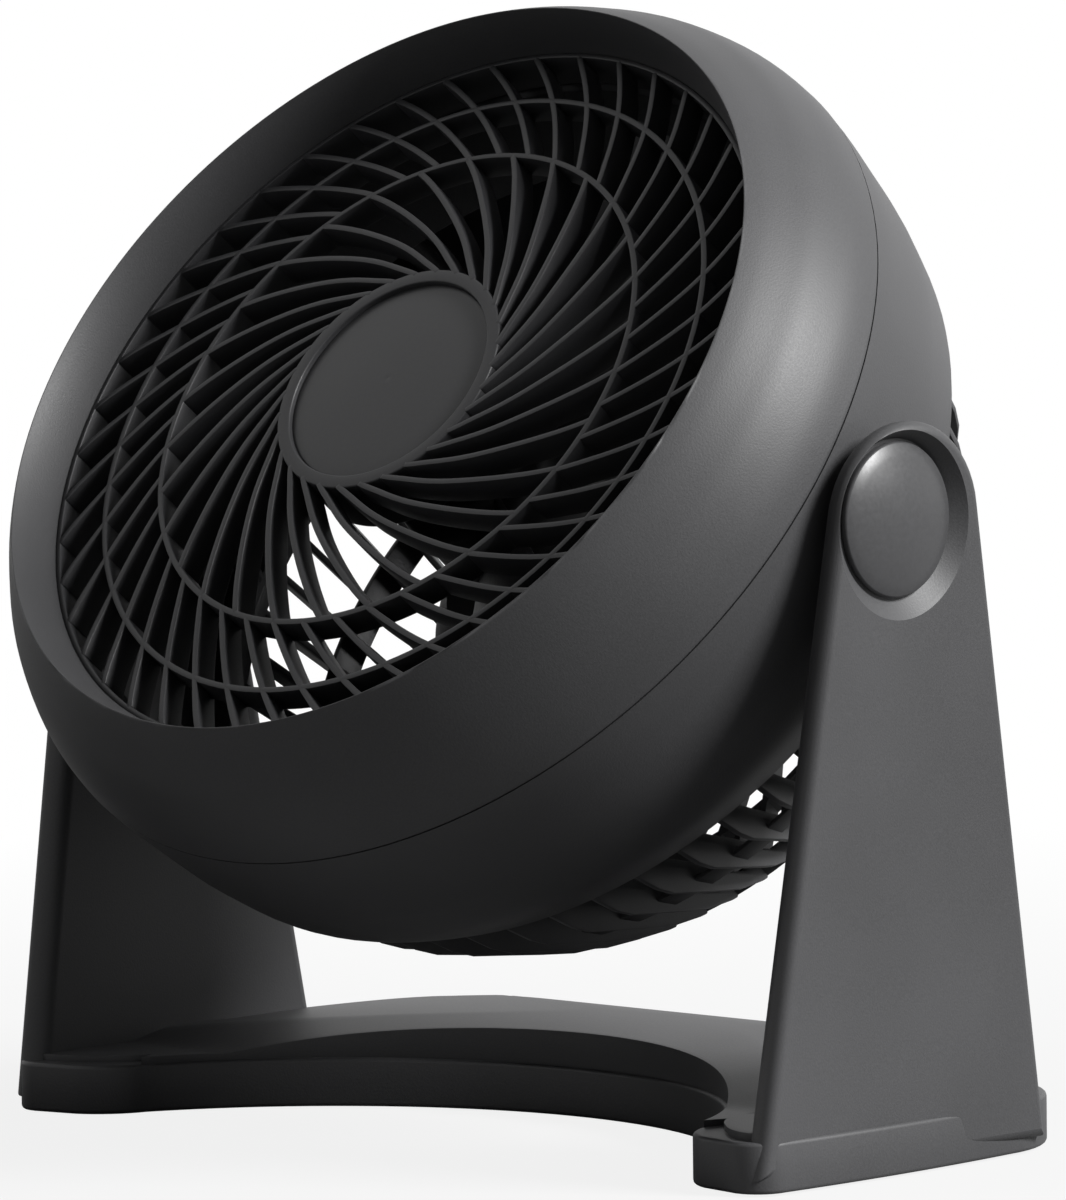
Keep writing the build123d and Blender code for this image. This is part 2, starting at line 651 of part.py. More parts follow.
with BuildSketch() as core_windows:
    with BuildLine():
        window(REAR_PATH, REAR_PHASE, 2 * fin_pitch)
    make_face()
    with BuildSketch(mode=Mode.PRIVATE) as rear_inner:
        Circle(REAR_RING_R - 0.9)
        Circle(COLLAR_R + 1.0, mode=Mode.SUBTRACT)
    add(rear_inner.sketch, mode=Mode.INTERSECT)

with BuildPart() as rear_grille:
    # one slanting fin, repeated all round the head
    with BuildSketch(SIDE):
        Polygon(*FIN_SIDE, align=None)
    fin = extrude(amount=FIN / 2, both=True, mode=Mode.PRIVATE)
    fin = fin.rotate(Axis(HEAD.origin + HEAD.x_dir * FIN_ROOT, HEAD.z_dir), -FIN_SLANT)
    add([fin.rotate(HEAD_AXIS, FIN_PHASE + n * fin_pitch) for n in range(FINS)])
    # rim and band
    with BuildSketch(SIDE):
        Polygon((104.6, -36.5), (108.4, -36.5), (108.4, -32.05), (104.6, -32.05), align=None)
        Polygon(*BAND, align=None)
    revolve(axis=HEAD_AXIS)
    # the rear guard fits inside the fins
    with BuildSketch(HEAD.offset(REAR_FACE - 4)):
        Circle(GUARD_R)
    extrude(amount=14.0, mode=Mode.SUBTRACT)
    # screw holes in the rim
    with BuildSketch(HEAD.offset(-40.0)):
        with PolarLocations(106.6, RIM_SCREWS, start_angle=RIM_START):
            Circle(1.45)
    extrude(amount=8.0, mode=Mode.SUBTRACT)
rear_grille.part.label = "rear_grille"
export_step(rear_grille.part, "parts/rear_grille.step")

with BuildPart() as rear_guard:
    # rear face with its spiral bars
    with BuildSketch(HEAD.offset(REAR_FACE)):
        Circle(GUARD_R)
        Circle(COLLAR_R - 0.9, mode=Mode.SUBTRACT)
        with PolarLocations(0, FINS):
            add(rear_windows.sketch, mode=Mode.SUBTRACT)
        with PolarLocations(0, FINS // 2):
            add(core_windows.sketch, mode=Mode.SUBTRACT)
    extrude(amount=5.4)
    # collar and centre plate
    with BuildSketch(SIDE):
        Polygon((COLLAR_R - 1.8, REAR_PLATE + 10), (COLLAR_R, REAR_PLATE + 10), (COLLAR_R, REAR_PLATE),
                (0, REAR_PLATE), (0, REAR_PLATE + PLATE_T), (COLLAR_R - 1.8, REAR_PLATE + PLATE_T),
                align=None)
    revolve(axis=HEAD_AXIS)
    # posts for the motor and holes for its cover's screws
    with BuildSketch(HEAD.offset(REAR_PLATE + 1)):
        with Locations(*[polar(BOLT_RING, a) for a in MOTOR_SCREWS]):
            Circle(3.6)
    extrude(amount=-61.0 - (REAR_PLATE + 1))
    with BuildSketch(HEAD.offset(-76.0)):
        with Locations(*[polar(BOLT_RING, a) for a in MOTOR_SCREWS]):
            Circle(1.9)
    extrude(amount=20.0, mode=Mode.SUBTRACT)
    with BuildSketch(HEAD.offset(REAR_PLATE)):
        with Locations(*[polar(COVER_BOSS_R, a) for a in COVER_BOSSES]):
            Circle(1.6)
    extrude(amount=PLATE_T, mode=Mode.SUBTRACT)
    # holes for the switch stem and the cord inlet
    with BuildSketch(HEAD.offset(REAR_PLATE)):
        Circle(4.2)
        with Locations(CORD_PLACE):
            Circle(4.6)
    extrude(amount=PLATE_T, mode=Mode.SUBTRACT)
rear_guard.part.label = "rear_guard"
export_step(rear_guard.part, "parts/rear_guard.step")

with BuildPart() as rear_grille_screws:
    with BuildSketch(HEAD.offset(-38.1)):
        with PolarLocations(106.6, RIM_SCREWS, start_angle=RIM_START):
            Circle(2.2)
    extrude(amount=1.6)
    with BuildSketch(HEAD.offset(-36.5)):
        with PolarLocations(106.6, RIM_SCREWS, start_angle=RIM_START):
            Circle(1.3)
    extrude(amount=12.0)
rear_grille_screws.part.label = "rear_grille_screws"
export_step(rear_grille_screws.part, "parts/rear_grille_screws.step")

# ---------------------------------------------------------------------------
# Motor, fixed part
# ---------------------------------------------------------------------------
PLATE_IN = REAR_PLATE + PLATE_T       # inner side of the centre plate

with BuildPart() as motor_cover:
    with BuildSketch(SIDE):
        with BuildLine():
            Polyline((9.0, -26.0), (34.0, -26.0), (38.9, -30.0), (44.15, -36.0), (44.15, PLATE_IN),
                     (42.35, PLATE_IN), (42.35, -36.7), (38.0, -31.6), (33.3, -27.8), (9.0, -27.8), close=True)
        make_face()
    revolve(axis=HEAD_AXIS)
    with BuildSketch(HEAD.offset(PLATE_IN)):
        with Locations(*[polar(COVER_BOSS_R, a) for a in COVER_BOSSES]):
            Circle(4.0)
    extrude(amount=14.0)
    with BuildSketch(HEAD.offset(PLATE_IN)):
        with Locations(*[polar(COVER_BOSS_R, a) for a in COVER_BOSSES]):
            Circle(1.4)
    extrude(amount=12.0, mode=Mode.SUBTRACT)
    # cooling slots
    with BuildSketch(HEAD.offset(-50.0)):
        with PolarLocations(43, 8, start_angle=22.5):
            Rectangle(8, 3.0)
    extrude(amount=10.0, mode=Mode.SUBTRACT)
motor_cover.part.label = "motor_cover"
export_step(motor_cover.part, "parts/motor_cover.step")

with BuildPart() as cover_screws:
    with BuildSketch(HEAD.offset(REAR_PLATE - 1.8)):
        with Locations(*[polar(COVER_BOSS_R, a) for a in COVER_BOSSES]):
            Circle(2.9)
    extrude(amount=1.8)
    with BuildSketch(HEAD.offset(REAR_PLATE)):
        with Locations(*[polar(COVER_BOSS_R, a) for a in COVER_BOSSES]):
            Circle(1.4)
    extrude(amount=12.0)
    with BuildSketch(HEAD.offset(REAR_PLATE - 1.8)):
        with Locations(*[polar(COVER_BOSS_R, a) for a in COVER_BOSSES]):
            Rectangle(3.4, 0.8)
            Rectangle(0.8, 3.4)
    extrude(amount=1.0, mode=Mode.SUBTRACT)
cover_screws.part.label = "cover_screws"
export_step(cover_screws.part, "parts/cover_screws.step")

with BuildPart() as stator_core:
    with BuildSketch(HEAD.offset(CORE_BACK)):
        Circle(STATOR_R)
        Circle(BORE_R, mode=Mode.SUBTRACT)
        with PolarLocations(22.6, 8):
            SlotOverall(9.0, 5.0, mode=Mode.SUBTRACT)
        with Locations(*[polar(BOLT_RING, a) for a in MOTOR_SCREWS]):
            Circle(2.0, mode=Mode.SUBTRACT)
    extrude(amount=CORE_FRONT - CORE_BACK)
stator_core.part.label = "stator_core"
export_step(stator_core.part, "parts/stator_core.step")

with BuildPart() as windings:
    with BuildSketch(SIDE):
        with Locations((22.9, CORE_FRONT + 1.95), (22.9, CORE_BACK - 1.95)):
            RectangleRounded(9.8, 3.9, 1.6)
    revolve(axis=HEAD_AXIS)
    with BuildSketch(HEAD.offset(CORE_BACK - 1)):
        with PolarLocations(22.6, 8):
            SlotOverall(8.4, 4.4)
    extrude(amount=CORE_FRONT - CORE_BACK + 2)
windings.part.label = "windings"
export_step(windings.part, "parts/windings.step")

with BuildPart() as motor_bracket_front:
    with BuildSketch(SIDE):
        with BuildLine():
            Polyline((7.0, -28.2), (9.6, -28.2), (9.6, -31.0), (35.4, -31.0), (35.4, CORE_FRONT),
                     (33.9, CORE_FRONT), (33.9, -33.0), (9.6, -33.0), (9.6, -33.6), (7.0, -33.6), close=True)
        make_face()
    revolve(axis=HEAD_AXIS)
    with BuildSketch(HEAD.offset(CORE_FRONT)):
        with Locations(*[polar(BOLT_RING, a) for a in MOTOR_SCREWS]):
            Circle(2.8)
    extrude(amount=6.0)
    with BuildSketch(HEAD.offset(CORE_FRONT)):
        with Locations(*[polar(BOLT_RING, a) for a in MOTOR_SCREWS]):
            Circle(2.0)
    extrude(amount=8.0, mode=Mode.SUBTRACT)
motor_bracket_front.part.label = "motor_bracket_front"
export_step(motor_bracket_front.part, "parts/motor_bracket_front.step")

with BuildPart() as motor_bracket_rear:
    with BuildSketch(SIDE):
        with BuildLine():
            Polyline((7.0, -63.6), (9.6, -63.6), (9.6, -61.0), (35.4, -61.0), (35.4, CORE_BACK),
                     (33.9, CORE_BACK), (33.9, -59.0), (9.6, -59.0), (9.6, -58.2), (7.0, -58.2), close=True)
        make_face()
    revolve(axis=HEAD_AXIS)
    with BuildSketch(HEAD.offset(-60.0)):
        with Locations(*[polar(BOLT_RING, a) for a in MOTOR_SCREWS]):
            Circle(2.8)
    extrude(amount=CORE_BACK + 60.0)
    with BuildSketch(HEAD.offset(-62.0)):
        with Locations(*[polar(BOLT_RING, a) for a in MOTOR_SCREWS]):
            Circle(2.0)
    extrude(amount=10.0, mode=Mode.SUBTRACT)
motor_bracket_rear.part.label = "motor_bracket_rear"
export_step(motor_bracket_rear.part, "parts/motor_bracket_rear.step")

with BuildPart() as motor_bushes:
    with BuildSketch(HEAD.offset(-33.6)):
        Circle(7.0)
        Circle(SHAFT_R + RUNNING, mode=Mode.SUBTRACT)
    extrude(amount=5.4)
    with BuildSketch(HEAD.offset(-63.6)):
        Circle(7.0)
        Circle(SHAFT_R + RUNNING, mode=Mode.SUBTRACT)
    extrude(amount=5.4)
motor_bushes.part.label = "motor_bushes"
export_step(motor_bushes.part, "parts/motor_bushes.step")

with BuildPart() as motor_screws:
    with BuildSketch(HEAD.offset(-31.0)):
        with Locations(*[polar(BOLT_RING, a) for a in MOTOR_SCREWS]):
            Circle(3.2)
    extrude(amount=1.8)
    with BuildSketch(HEAD.offset(-71.0)):
        with Locations(*[polar(BOLT_RING, a) for a in MOTOR_SCREWS]):
            Circle(1.9)
    extrude(amount=40.0)
motor_screws.part.label = "motor_screws"
export_step(motor_screws.part, "parts/motor_screws.step")

with BuildPart() as rotary_switch:
    with BuildSketch(HEAD.offset(PLATE_IN)):
        Rectangle(24, 24)
    extrude(amount=11.0)
    chamfer(rotary_switch.edges().filter_by(HEAD_AXIS), 2.0)
    with BuildSketch(HEAD.offset(PLATE_IN - 0.4)):
        Circle(3.0 + RUNNING)
    extrude(amount=9.4, mode=Mode.SUBTRACT)
    with BuildSketch(HEAD.offset(PLATE_IN + 11)):
        with Locations((-8, 0), (-3, 0), (3, 0), (8, 0)):
            Rectangle(0.8, 4.8)
    extrude(amount=2.6)
rotary_switch.part.label = "rotary_switch"
export_step(rotary_switch.part, "parts/rotary_switch.step")

with BuildPart() as cord_inlet:
    with BuildSketch(HEAD.offset(REAR_PLATE - 2.0)):
        with Locations(CORD_PLACE):
            Circle(6.4)
    extrude(amount=2.0)
    with BuildSketch(HEAD.offset(REAR_PLATE)):
        with Locations(CORD_PLACE):
            Circle(4.6)
    extrude(amount=4.4)
    with BuildSketch(HEAD.offset(REAR_PLATE - 3)):
        with Locations(CORD_PLACE):
            Circle(CORD_R)
    extrude(amount=9.0, mode=Mode.SUBTRACT)
cord_inlet.part.label = "cord_inlet"
export_step(cord_inlet.part, "parts/cord_inlet.step")

# ---------------------------------------------------------------------------
# Turning parts
# ---------------------------------------------------------------------------
with BuildPart() as motor_shaft:
    with BuildSketch(HEAD.offset(-63.8)):
        Circle(SHAFT_R)
    extrude(amount=SPIN_FRONT + 63.8)
    with BuildSketch(HEAD.offset(SPIN_FRONT)):
        Circle(2.6)
    extrude(amount=6.6)
motor_shaft.part.label = "motor_shaft"
export_step(motor_shaft.part, "parts/motor_shaft.step")

with BuildPart() as rotor_core:
    with BuildSketch(HEAD.offset(CORE_BACK)):
        Circle(ROTOR_R)
        Circle(SHAFT_R, mode=Mode.SUBTRACT)
    extrude(amount=CORE_FRONT - CORE_BACK)
    with BuildSketch(HEAD.offset(CORE_BACK - 2.4)):
        Circle(14.0)
        Circle(9.0, mode=Mode.SUBTRACT)
    extrude(amount=CORE_FRONT - CORE_BACK + 4.8)
rotor_core.part.label = "rotor_core"
export_step(rotor_core.part, "parts/rotor_core.step")


outward = HEAD.x_dir * cos(radians(BLADE_PHASE)) + HEAD.y_dir * sin(radians(BLADE_PHASE))
around = HEAD.y_dir * cos(radians(BLADE_PHASE)) - HEAD.x_dir * sin(radians(BLADE_PHASE))

with BuildPart() as impeller:
    with BuildPart(mode=Mode.PRIVATE) as blade:
        # thin sections across the blade, as distance from the axis, chord and pitch
        for reach, chord, pitch in ((18, 30, 50), (45, 60, 41), (75, 84, 33), (106, 100, 27)):
            lean = around * cos(radians(pitch)) + HEAD.z_dir * sin(radians(pitch))
            root = HEAD.origin + HEAD.z_dir * BLADE_MID + outward * reach
            with BuildSketch(Plane(origin=root, x_dir=lean, z_dir=outward)):
                SlotOverall(chord, BLADE)
        loft()
        with BuildSketch(HEAD.offset(-34)):
            Circle(BLADE_R)
        extrude(amount=70, mode=Mode.INTERSECT)
    for n in range(BLADES):
        add(blade.part.rotate(HEAD_AXIS, n * 360 / BLADES))
    with BuildSketch(SIDE):
        with BuildLine():
            Polyline((0, SPIN_FRONT), (10.0, SPIN_FRONT))
            Spline((10.0, SPIN_FRONT), (17.5, 20.6), (21.6, 16.6), (SPIN_HUB_R, 11.0))
            Polyline((SPIN_HUB_R, 11.0), (SPIN_HUB_R, SPIN_BACK), (0, SPIN_BACK), (0, SPIN_FRONT))
        make_face()
    revolve(axis=HEAD_AXIS)
    with BuildSketch(HEAD.offset(SPIN_BACK)):
        Circle(SPIN_HUB_R - 2.4)
        Circle(7.5, mode=Mode.SUBTRACT)
        with PolarLocations(13, 6):
            Rectangle(16, 1.6, mode=Mode.SUBTRACT)
    extrude(amount=26.0, mode=Mode.SUBTRACT)
    with BuildSketch(HEAD.offset(SPIN_BACK)):
        Circle(SHAFT_R)
    extrude(amount=40.0, mode=Mode.SUBTRACT)
impeller.part.label = "impeller"
export_step(impeller.part, "parts/impeller.step")

with BuildPart() as spinner_nut:
    with BuildSketch(HEAD.offset(SPIN_FRONT)):
        RegularPolygon(radius=7.0, side_count=6)
        Circle(2.6, mode=Mode.SUBTRACT)
    extrude(amount=5.0)
spinner_nut.part.label = "spinner_nut"
export_step(spinner_nut.part, "parts/spinner_nut.step")

# ---------------------------------------------------------------------------
# Speed knob on the back
# ---------------------------------------------------------------------------
with BuildPart() as speed_knob:
    with BuildSketch(HEAD.offset(REAR_PLATE - 6.0)):
        Circle(16.0)
    extrude(amount=5.2)
    with BuildSketch(HEAD.offset(REAR_PLATE - 17.0)):
        RectangleRounded(7.0, 29.0, 2.5)
    extrude(amount=11.2)
    with BuildSketch(HEAD.offset(REAR_PLATE - 3.0)):
        Circle(3.0)
    extrude(amount=13.0)
    with BuildSketch(HEAD.offset(REAR_PLATE - 17.0)):
        with Locations((0, 11.0)):
            Rectangle(1.2, 6.0)
    extrude(amount=0.6, mode=Mode.SUBTRACT)
speed_knob.part.label = "speed_knob"
export_step(speed_knob.part, "parts/speed_knob.step")
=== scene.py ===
from math import atan2, cos, pi, radians, sin

import bpy
from mathutils import Matrix, Vector


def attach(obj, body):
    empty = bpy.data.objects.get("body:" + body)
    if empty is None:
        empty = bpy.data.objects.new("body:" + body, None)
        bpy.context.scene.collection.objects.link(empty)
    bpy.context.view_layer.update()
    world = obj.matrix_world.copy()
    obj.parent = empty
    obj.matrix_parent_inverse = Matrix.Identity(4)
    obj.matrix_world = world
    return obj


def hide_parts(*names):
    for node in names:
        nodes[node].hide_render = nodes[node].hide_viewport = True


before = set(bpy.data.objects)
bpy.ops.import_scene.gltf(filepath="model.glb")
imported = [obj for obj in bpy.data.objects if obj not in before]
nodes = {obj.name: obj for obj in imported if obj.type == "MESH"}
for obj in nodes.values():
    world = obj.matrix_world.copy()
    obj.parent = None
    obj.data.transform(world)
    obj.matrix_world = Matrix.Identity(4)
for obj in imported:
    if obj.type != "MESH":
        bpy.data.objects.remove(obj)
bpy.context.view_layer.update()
bpy.ops.object.select_all(action="DESELECT")

# ---------------------------------------------------------------------------
# Stand.
# One charcoal moulding: a low crescent-shaped base in two tiers with a domed
# top, and two tapered arms that hold the head between them.
# ---------------------------------------------------------------------------
PIVOT_Z = 0.16465       # height of the tilt axis, in metres
SHEEN = 0.28            # specular level of the fan's surfaces
GRAIN_SHARE = 0.45      # weight of the fine grain beside the slow drift of tone
DARK_UP_TO = 0.42       # below this the tone is fully dark
LIGHT_FROM = 0.98       # above this it is fully light
GLOSS_SPREAD = 0.07     # how far the grain moves the roughness either way
PIT_DEPTH = 0.00006     # depth of the grain, in metres


def plastic(name, dark, light, rough, grain, bump, cloud=9.0):
    """Moulded plastic: a slow drift of tone, and a fine grain in tone, gloss and bump."""
    made = bpy.data.materials.new(name)
    made.use_nodes = True
    tree = made.node_tree
    shader = tree.nodes["Principled BSDF"]
    shader.inputs["Specular IOR Level"].default_value = SHEEN
    place = tree.nodes.new("ShaderNodeTexCoord")
    drift = tree.nodes.new("ShaderNodeTexNoise")
    drift.inputs["Scale"].default_value = cloud
    drift.inputs["Detail"].default_value = 3
    fine = tree.nodes.new("ShaderNodeTexNoise")
    fine.inputs["Scale"].default_value = grain
    fine.inputs["Detail"].default_value = 2
    blend = tree.nodes.new("ShaderNodeMath")
    blend.operation = "MULTIPLY_ADD"
    blend.inputs[1].default_value = GRAIN_SHARE
    tone = tree.nodes.new("ShaderNodeValToRGB")
    tone.color_ramp.elements[0].position = DARK_UP_TO
    tone.color_ramp.elements[1].position = LIGHT_FROM
    tone.color_ramp.elements[0].color = (*dark, 1)
    tone.color_ramp.elements[1].color = (*light, 1)
    gloss = tree.nodes.new("ShaderNodeMapRange")
    gloss.inputs["To Min"].default_value = rough - GLOSS_SPREAD
    gloss.inputs["To Max"].default_value = rough + GLOSS_SPREAD
    pit = tree.nodes.new("ShaderNodeBump")
    pit.inputs["Strength"].default_value = bump
    pit.inputs["Distance"].default_value = PIT_DEPTH
    link = tree.links.new
    link(place.outputs["Object"], drift.inputs["Vector"])
    link(place.outputs["Object"], fine.inputs["Vector"])
    link(fine.outputs["Fac"], blend.inputs[0])
    link(drift.outputs["Fac"], blend.inputs[2])
    link(blend.outputs[0], tone.inputs["Fac"])
    link(tone.outputs["Color"], shader.inputs["Base Color"])
    link(fine.outputs["Fac"], gloss.inputs["Value"])
    link(gloss.outputs["Result"], shader.inputs["Roughness"])
    link(fine.outputs["Fac"], pit.inputs["Height"])
    link(pit.outputs["Normal"], shader.inputs["Normal"])
    return made


def soften(piece, width, segments=3, angle=32):
    """Rounds every edge sharper than the angle, by a width in millimetres."""
    bevel = piece.modifiers.new("soft_edges", "BEVEL")
    bevel.width = width / 1000
    bevel.segments = segments
    bevel.limit_method = "ANGLE"
    bevel.angle_limit = radians(angle)
    bevel.use_clamp_overlap = True
    bpy.ops.object.modifier_apply(modifier=bevel.name)


def settle(piece, material, place=Matrix(), angle=34):
    """Smooth shading, material, and the piece's place put into its mesh."""
    bpy.ops.object.shade_smooth_by_angle(angle=radians(angle))
    piece.data.materials.clear()
    piece.data.materials.append(material)
    piece.data.transform(place)
    piece.data.update()
    bpy.ops.object.select_all(action="DESELECT")


def join(main, *others):
    """Makes one piece of several. It keeps the name of the first."""
    for piece in (main, *others):
        piece.select_set(True)
    bpy.context.view_layer.objects.active = main
    bpy.ops.object.join()
    bpy.ops.object.select_all(action="DESELECT")


def arc(start, middle, end, count):
    """Points on the circle through three points, without the last one."""
    a, b, c = Vector(start), Vector(middle), Vector(end)
    turn = 2 * (a.x * (b.y - c.y) + b.x * (c.y - a.y) + c.x * (a.y - b.y))
    cx = (a.dot(a) * (b.y - c.y) + b.dot(b) * (c.y - a.y) + c.dot(c) * (a.y - b.y)) / turn
    cy = (a.dot(a) * (c.x - b.x) + b.dot(b) * (a.x - c.x) + c.dot(c) * (b.x - a.x)) / turn
    first = atan2(a.y - cy, a.x - cx)
    sweep = (atan2(c.y - cy, c.x - cx) - first) % (2 * pi)
    if turn < 0:
        sweep -= 2 * pi
    radius = (a - Vector((cx, cy))).length
    angles = [first + sweep * k / count for k in range(count)]
    return [(cx + radius * cos(angle), cy + radius * sin(angle)) for angle in angles]


def plate(name, outline, low, high):
    """Closed outline in millimetres, filled and pulled up from one height to another."""
    bpy.ops.mesh.primitive_circle_add(vertices=len(outline), radius=0.01)
    piece = bpy.context.object
    piece.name = name
    for vertex, (x, y) in zip(piece.data.vertices, outline):
        vertex.co = (x / 1000, y / 1000, low / 1000)
    bpy.ops.object.mode_set(mode="EDIT")
    bpy.ops.mesh.select_all(action="SELECT")
    bpy.ops.mesh.edge_face_add()
    bpy.ops.mesh.extrude_region_move(
        TRANSFORM_OT_translate={"value": (0, 0, (high - low) / 1000)})
    bpy.ops.mesh.select_all(action="SELECT")
    bpy.ops.mesh.normals_make_consistent(inside=False)
    bpy.ops.object.mode_set(mode="OBJECT")
    return piece


body_plastic = plastic("body_plastic", (0.026, 0.026, 0.027), (0.046, 0.046, 0.048),
                       0.50, 1900, 0.6)

# lower tier: the right half of its outline goes from the front middle round to the rear middle
REAR_MIDDLE = (0, 90)
half = (
    arc((0, 29.8), (54.4, 15.3), (99, -33.2), 20)
    + arc((99, -33.2), (103.4, -42.4), (111.5, -48.0), 8)
    + [(111.5, -48.0)]
    + arc((124.5, -50.6), (131.2, -48.0), (133.7, -41), 8)
    + arc((133.7, -41), (134.4, 2), (131.6, 46), 10)
    + arc((131.6, 46), (122.6, 70), (100, 83.5), 12)
    + arc((100, 83.5), (50, 88.4), REAR_MIDDLE, 12)
)
outline = half + [REAR_MIDDLE] + [(-x, y) for x, y in reversed(half[1:])]
stand = plate("stand", outline, 0.6, 13.5)

# its underside is hollow, inside a wall
WALL = 0.0032
HOLLOW = 0.0098
bpy.ops.object.mode_set(mode="EDIT")
bpy.ops.mesh.select_all(action="DESELECT")
bpy.ops.object.mode_set(mode="OBJECT")
for face in stand.data.polygons:
    face.select = face.normal.z < -0.9
bpy.ops.object.mode_set(mode="EDIT")
bpy.ops.mesh.inset(thickness=WALL)
bpy.ops.mesh.extrude_region_move(TRANSFORM_OT_translate={"value": (0, 0, HOLLOW)})
bpy.ops.object.mode_set(mode="OBJECT")
soften(stand, 1.1, 4)
settle(stand, body_plastic)

# upper tier: a grid stretched between its front and rear outlines, in millimetres
COLUMNS = 120
ROWS = 30
HALF_WIDTH = 131.4
REAR_CORNER = 98        # distance from the middle at which the rear corner starts
SKIRT_Z = 0.0128        # the rim ends inside the lower tier, in metres


def front_edge(x):
    """Front outline of the upper tier at a distance from the middle, in millimetres."""
    x = abs(x)
    if x < 100:     # the hollow between the feet
        return -73.4 + (104.4 ** 2 - x ** 2 * 0.94) ** 0.5
    if x <= 105:    # the foot's inner side
        return -25.2 - (x - 100) * 1.5
    if x <= 125:    # the foot's rounded front
        return -32.7 - 12.5 * sin((x - 105) / 20 * pi / 2)
    return -45.2 + (x - 125) * 0.18


def rear_edge(x):
    """Rear outline of the upper tier at a distance from the middle, in millimetres."""
    x = abs(x)
    if x <= REAR_CORNER:
        return 87.2 - 6.8 * (x / REAR_CORNER) ** 2
    return 20 + 60.4 * max(0.0, 1 - ((x - REAR_CORNER) / 33.6) ** 2.4) ** 0.5


def top_height(x, y):
    """Height of the top, which falls off to the front, the rear and both sides."""
    along = 24.2 - 0.0034 * max(0, 58 - y) ** 1.85 - 0.0042 * max(0, y - 62) ** 2.1
    across = 24.6 - 0.00043 * x * x
    return max(min(along, across), 15.2 if y < 80 else 13.6)


bpy.ops.mesh.primitive_grid_add(x_subdivisions=COLUMNS, y_subdivisions=ROWS, size=2)
base_top = bpy.context.object
for vertex in base_top.data.vertices:
    x = HALF_WIDTH * sin(vertex.co.x * pi / 2)
    share = (vertex.co.y + 1) / 2
    y = front_edge(x) * (1 - share) + rear_edge(x) * share
    vertex.co = (x / 1000, y / 1000, top_height(x, y) / 1000)
bpy.ops.object.mode_set(mode="EDIT")
bpy.ops.mesh.select_all(action="DESELECT")
bpy.ops.mesh.select_non_manifold()
bpy.ops.mesh.extrude_region_move()
bpy.ops.object.mode_set(mode="OBJECT")
for vertex in base_top.data.vertices:
    if vertex.select:
        vertex.co.z = SKIRT_Z
bpy.ops.object.mode_set(mode="EDIT")
bpy.ops.mesh.edge_face_add()
bpy.ops.mesh.select_all(action="SELECT")
bpy.ops.mesh.normals_make_consistent(inside=False)
bpy.ops.object.mode_set(mode="OBJECT")
soften(base_top, 1.4, 4, 40)
settle(base_top, body_plastic)

# arm: its outline runs up the rear edge, round the head of the arm and down the front edge
ARM_THICK = 8.4
ARM_LEAN = 0.03         # outwards per unit of height
ARM_INSIDE = 0.12463    # distance of its inner face from the middle at the floor, in metres
ON_FACE = 0.00001
ABOVE_BASE = 0.005
arm_head = arc((29.04, 167.0), (3.4, 189.0), (-22.4, 166.5), 24)
arm_line = [(-49.2, 4), (58.4, 4), (29.0, 167), *arm_head[1:], (-22.4, 166.5)]
arm = plate("arm", arm_line, 0, ARM_THICK)
# the edge of its outer face is rounded by 3 mm and that of its inner face by 5 mm
for level, round_off in ((ARM_THICK / 1000, 0.003), (0, 0.005)):
    bpy.ops.object.mode_set(mode="EDIT")
    bpy.ops.mesh.select_all(action="DESELECT")
    bpy.ops.object.mode_set(mode="OBJECT")
    for edge in arm.data.edges:
        ends = [arm.data.vertices[k].co for k in edge.vertices]
        flat = all(abs(end.z - level) < ON_FACE for end in ends)
        edge.select = flat and max(end.y for end in ends) > ABOVE_BASE
    bpy.ops.object.mode_set(mode="EDIT")
    bpy.ops.mesh.bevel(offset=round_off, segments=8, profile=0.5)
    bpy.ops.object.mode_set(mode="OBJECT")
# the outline's X becomes Y and its Y becomes Z, and the thickness goes outwards along X
arm.data.transform(Matrix(((0, ARM_LEAN, 1, ARM_INSIDE), (1, 0, 0, 0), (0, 1, 0, 0),
                           (0, 0, 0, 1))))

# dish around the pivot: its mouth lies a little lower than its floor
DISH_DROP = 0.004
bpy.ops.mesh.primitive_cone_add(vertices=128, radius1=0.02017, radius2=0.02823, depth=0.0076,
                                location=(0.138, 0, PIVOT_Z), rotation=(0, pi / 2, 0))
dish = bpy.context.object
for vertex in dish.data.vertices:
    if vertex.co.z > 0:
        vertex.co.x += DISH_DROP
bpy.ops.object.select_all(action="DESELECT")
arm.select_set(True)
bpy.context.view_layer.objects.active = arm
cut = arm.modifiers.new("dish", "BOOLEAN")
cut.operation = "DIFFERENCE"
cut.object = dish
cut.solver = "EXACT"
bpy.ops.object.modifier_apply(modifier=cut.name)
bpy.data.objects.remove(dish)
soften(arm, 0.7, 4, 22)
twin = arm.modifiers.new("twin", "MIRROR")
twin.use_mirror_merge = False
bpy.ops.object.modifier_apply(modifier=twin.name)
settle(arm, body_plastic)
arm.select_set(True)
even = arm.modifiers.new("even_shading", "WEIGHTED_NORMAL")
even.keep_sharp = True
bpy.ops.object.modifier_apply(modifier=even.name)

join(stand, base_top, arm)
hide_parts("stand_shell")
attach(stand, "stand")

# ---------------------------------------------------------------------------
# Inner covers of the arms and the bottom cover.
# Flat plates that close the hollow side of each arm and the underside of the
# base, moulded in the same fine-grained plastic as the stand.
# ---------------------------------------------------------------------------


def dress(material, *names):
    """Gives CAD nodes a material in the slot that they already have."""
    for name in names:
        nodes[name].material_slots[0].material = material


dress(body_plastic, "arm_cover_left", "arm_cover_right", "bottom_cover")

